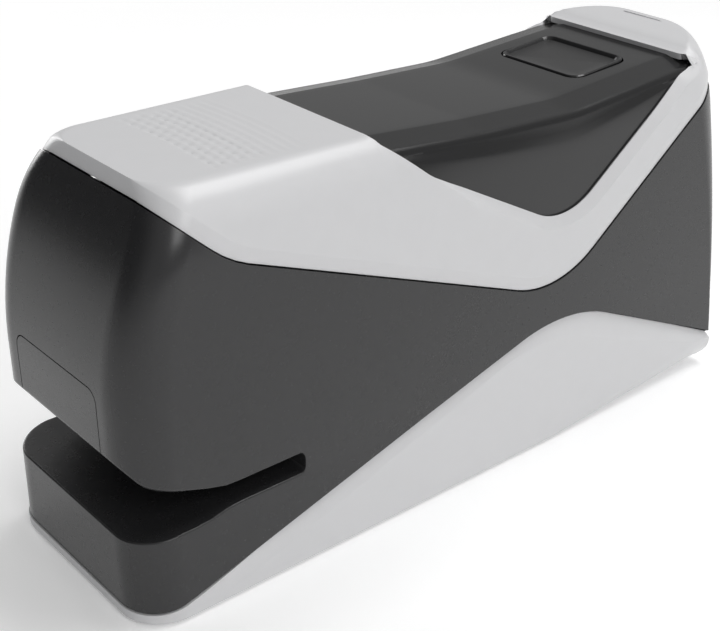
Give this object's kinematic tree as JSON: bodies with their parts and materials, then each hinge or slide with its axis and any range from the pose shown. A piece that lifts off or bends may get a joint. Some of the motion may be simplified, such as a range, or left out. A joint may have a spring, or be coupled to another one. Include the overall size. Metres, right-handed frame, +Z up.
{
  "type": "electric stapler",
  "caption": "Battery-powered desk stapler with a front paper slot, white top and base, dark body, top release button and front-loading staple drawer.",
  "frame": {"origin": "on the surface that the feet stand on, under the middle of the stapler", "axes": "+Z up, -Y towards the nose and its paper slot, +X to the stapler's left when seen from its nose"},
  "size_m": [0.0492, 0.1534, 0.078],
  "materials": {
    "dark_plastic": "satin moulded, charcoal",
    "black_plastic": "satin gloss, black",
    "white_plastic": "satin gloss, white",
    "plated_steel": "zinc plated",
    "motor_can": "drawn and nickel plated",
    "staple_wire": "bright galvanised wire",
    "spring_wire": "spring steel",
    "brass": "turned",
    "gear_nylon": "moulded acetal",
    "rubber": "moulded",
    "circuit_board": "green lacquer",
    "cell_jacket": "plain printed jacket with no mark",
    "grey_plastic": "moulded",
    "red_lead": "insulated lead",
    "black_lead": "insulated lead"
  },
  "bodies": {
    "casing": {"main_housing": "dark_plastic", "top_cover": "white_plastic", "base_tray": "white_plastic", "top_panel": "black_plastic", "micro_switch": "black_plastic", "steel_frame": "plated_steel", "driver_guide": "plated_steel", "second_gear_axle": "plated_steel", "first_gear_axle": "plated_steel", "hammer_pin": "plated_steel", "release_lever_pin": "plated_steel", "anvil_plate": "plated_steel", "front_contacts": "plated_steel", "motor": "motor_can", "button_spring": "spring_wire", "crank_bush": "brass", "circuit_board": "circuit_board", "battery_holder": "grey_plastic", "motor_lead_red": "red_lead", "motor_lead_black": "black_lead", "rubber_foot_1": "rubber", "case_screw_1": "plated_steel", "aa_cell_1": "cell_jacket", "rubber_foot_2": "rubber", "case_screw_2": "plated_steel", "aa_cell_2": "cell_jacket", "rubber_foot_3": "rubber", "case_screw_3": "plated_steel", "aa_cell_3": "cell_jacket", "rubber_foot_4": "rubber", "case_screw_4": "plated_steel", "aa_cell_4": "cell_jacket"},
    "button": {"release_button": "black_plastic"},
    "release_lever": {"release_lever": "plated_steel"},
    "drawer": {"drawer_front": "dark_plastic", "magazine_channel": "plated_steel", "staple_strip": "staple_wire", "pusher_spring": "spring_wire"},
    "pusher": {"staple_pusher": "black_plastic"},
    "battery_door": {"battery_door": "dark_plastic", "rear_contact": "plated_steel"},
    "crank": {"crank_gear": "gear_nylon", "crank_shaft": "plated_steel"},
    "second_gear": {"second_gear": "gear_nylon"},
    "first_gear": {"first_gear": "gear_nylon"},
    "motor_pinion": {"motor_pinion": "brass"},
    "hammer": {"hammer_lever": "plated_steel"},
    "driver": {"driver_blade": "plated_steel"},
    "trigger": {"paper_trigger": "grey_plastic"}
  },
  "joints": [
    {"name": "button_press", "type": "slide", "parent": "casing", "child": "button", "axis": [0, 0, -1], "range_m": [0, 0.0018], "stiffness_N_per_m": 150, "springref_m": -0.003, "deforming": ["button_spring"]},
    {"name": "release_lever_tip", "type": "hinge", "parent": "casing", "child": "release_lever", "pos_m": [-0.0176, 0.02035, 0.0526], "axis": [-1, 0, 0], "range_deg": [0, 4.3]},
    {"name": "drawer_slide", "type": "slide", "parent": "casing", "child": "drawer", "axis": [0, -1, 0], "range_m": [0, 0.045]},
    {"name": "pusher_slide", "type": "slide", "parent": "drawer", "child": "pusher", "axis": [0, 1, 0], "range_m": [0, 0.016], "stiffness_N_per_m": 20, "springref_m": -0.03, "deforming": ["pusher_spring"]},
    {"name": "battery_door_hinge", "type": "hinge", "parent": "casing", "child": "battery_door", "pos_m": [0, 0.07614, 0.0104], "axis": [-1, 0, 0], "range_deg": [0, 95]},
    {"name": "crank_spin", "type": "hinge", "parent": "casing", "child": "crank", "pos_m": [0, -0.03265, 0.0506], "axis": [1, 0, 0], "continuous": true},
    {"name": "second_gear_spin", "type": "hinge", "parent": "casing", "child": "second_gear", "pos_m": [0, -0.01536, 0.04431], "axis": [1, 0, 0], "continuous": true},
    {"name": "first_gear_spin", "type": "hinge", "parent": "casing", "child": "first_gear", "pos_m": [0, -0.00086, 0.05107], "axis": [1, 0, 0], "continuous": true},
    {"name": "motor_spin", "type": "hinge", "parent": "casing", "child": "motor_pinion", "pos_m": [0, 0.01418, 0.05654], "axis": [1, 0, 0], "continuous": true},
    {"name": "hammer_swing", "type": "hinge", "parent": "casing", "child": "hammer", "pos_m": [0, -0.00665, 0.0446], "axis": [-1, 0, 0], "range_deg": [-11.9, 0]},
    {"name": "driver_slide", "type": "slide", "parent": "casing", "child": "driver", "axis": [0, 0, 1], "range_m": [-0.01, 0]},
    {"name": "trigger_push", "type": "slide", "parent": "casing", "child": "trigger", "axis": [0, 1, 0], "range_m": [0, 0.0015], "stiffness_N_per_m": 60, "springref_m": -0.003}
  ],
  "couplings": [
    {"joint": "release_lever_tip", "follows": "button_press", "rad_per_m": 39.526},
    {"joint": "second_gear_spin", "follows": "crank_spin", "ratio": -3.6},
    {"joint": "first_gear_spin", "follows": "crank_spin", "ratio": 10.8},
    {"joint": "motor_spin", "follows": "crank_spin", "ratio": -32.4},
    {"joint": "driver_slide", "follows": "hammer_swing", "m_per_rad": 0.0477}
  ]
}
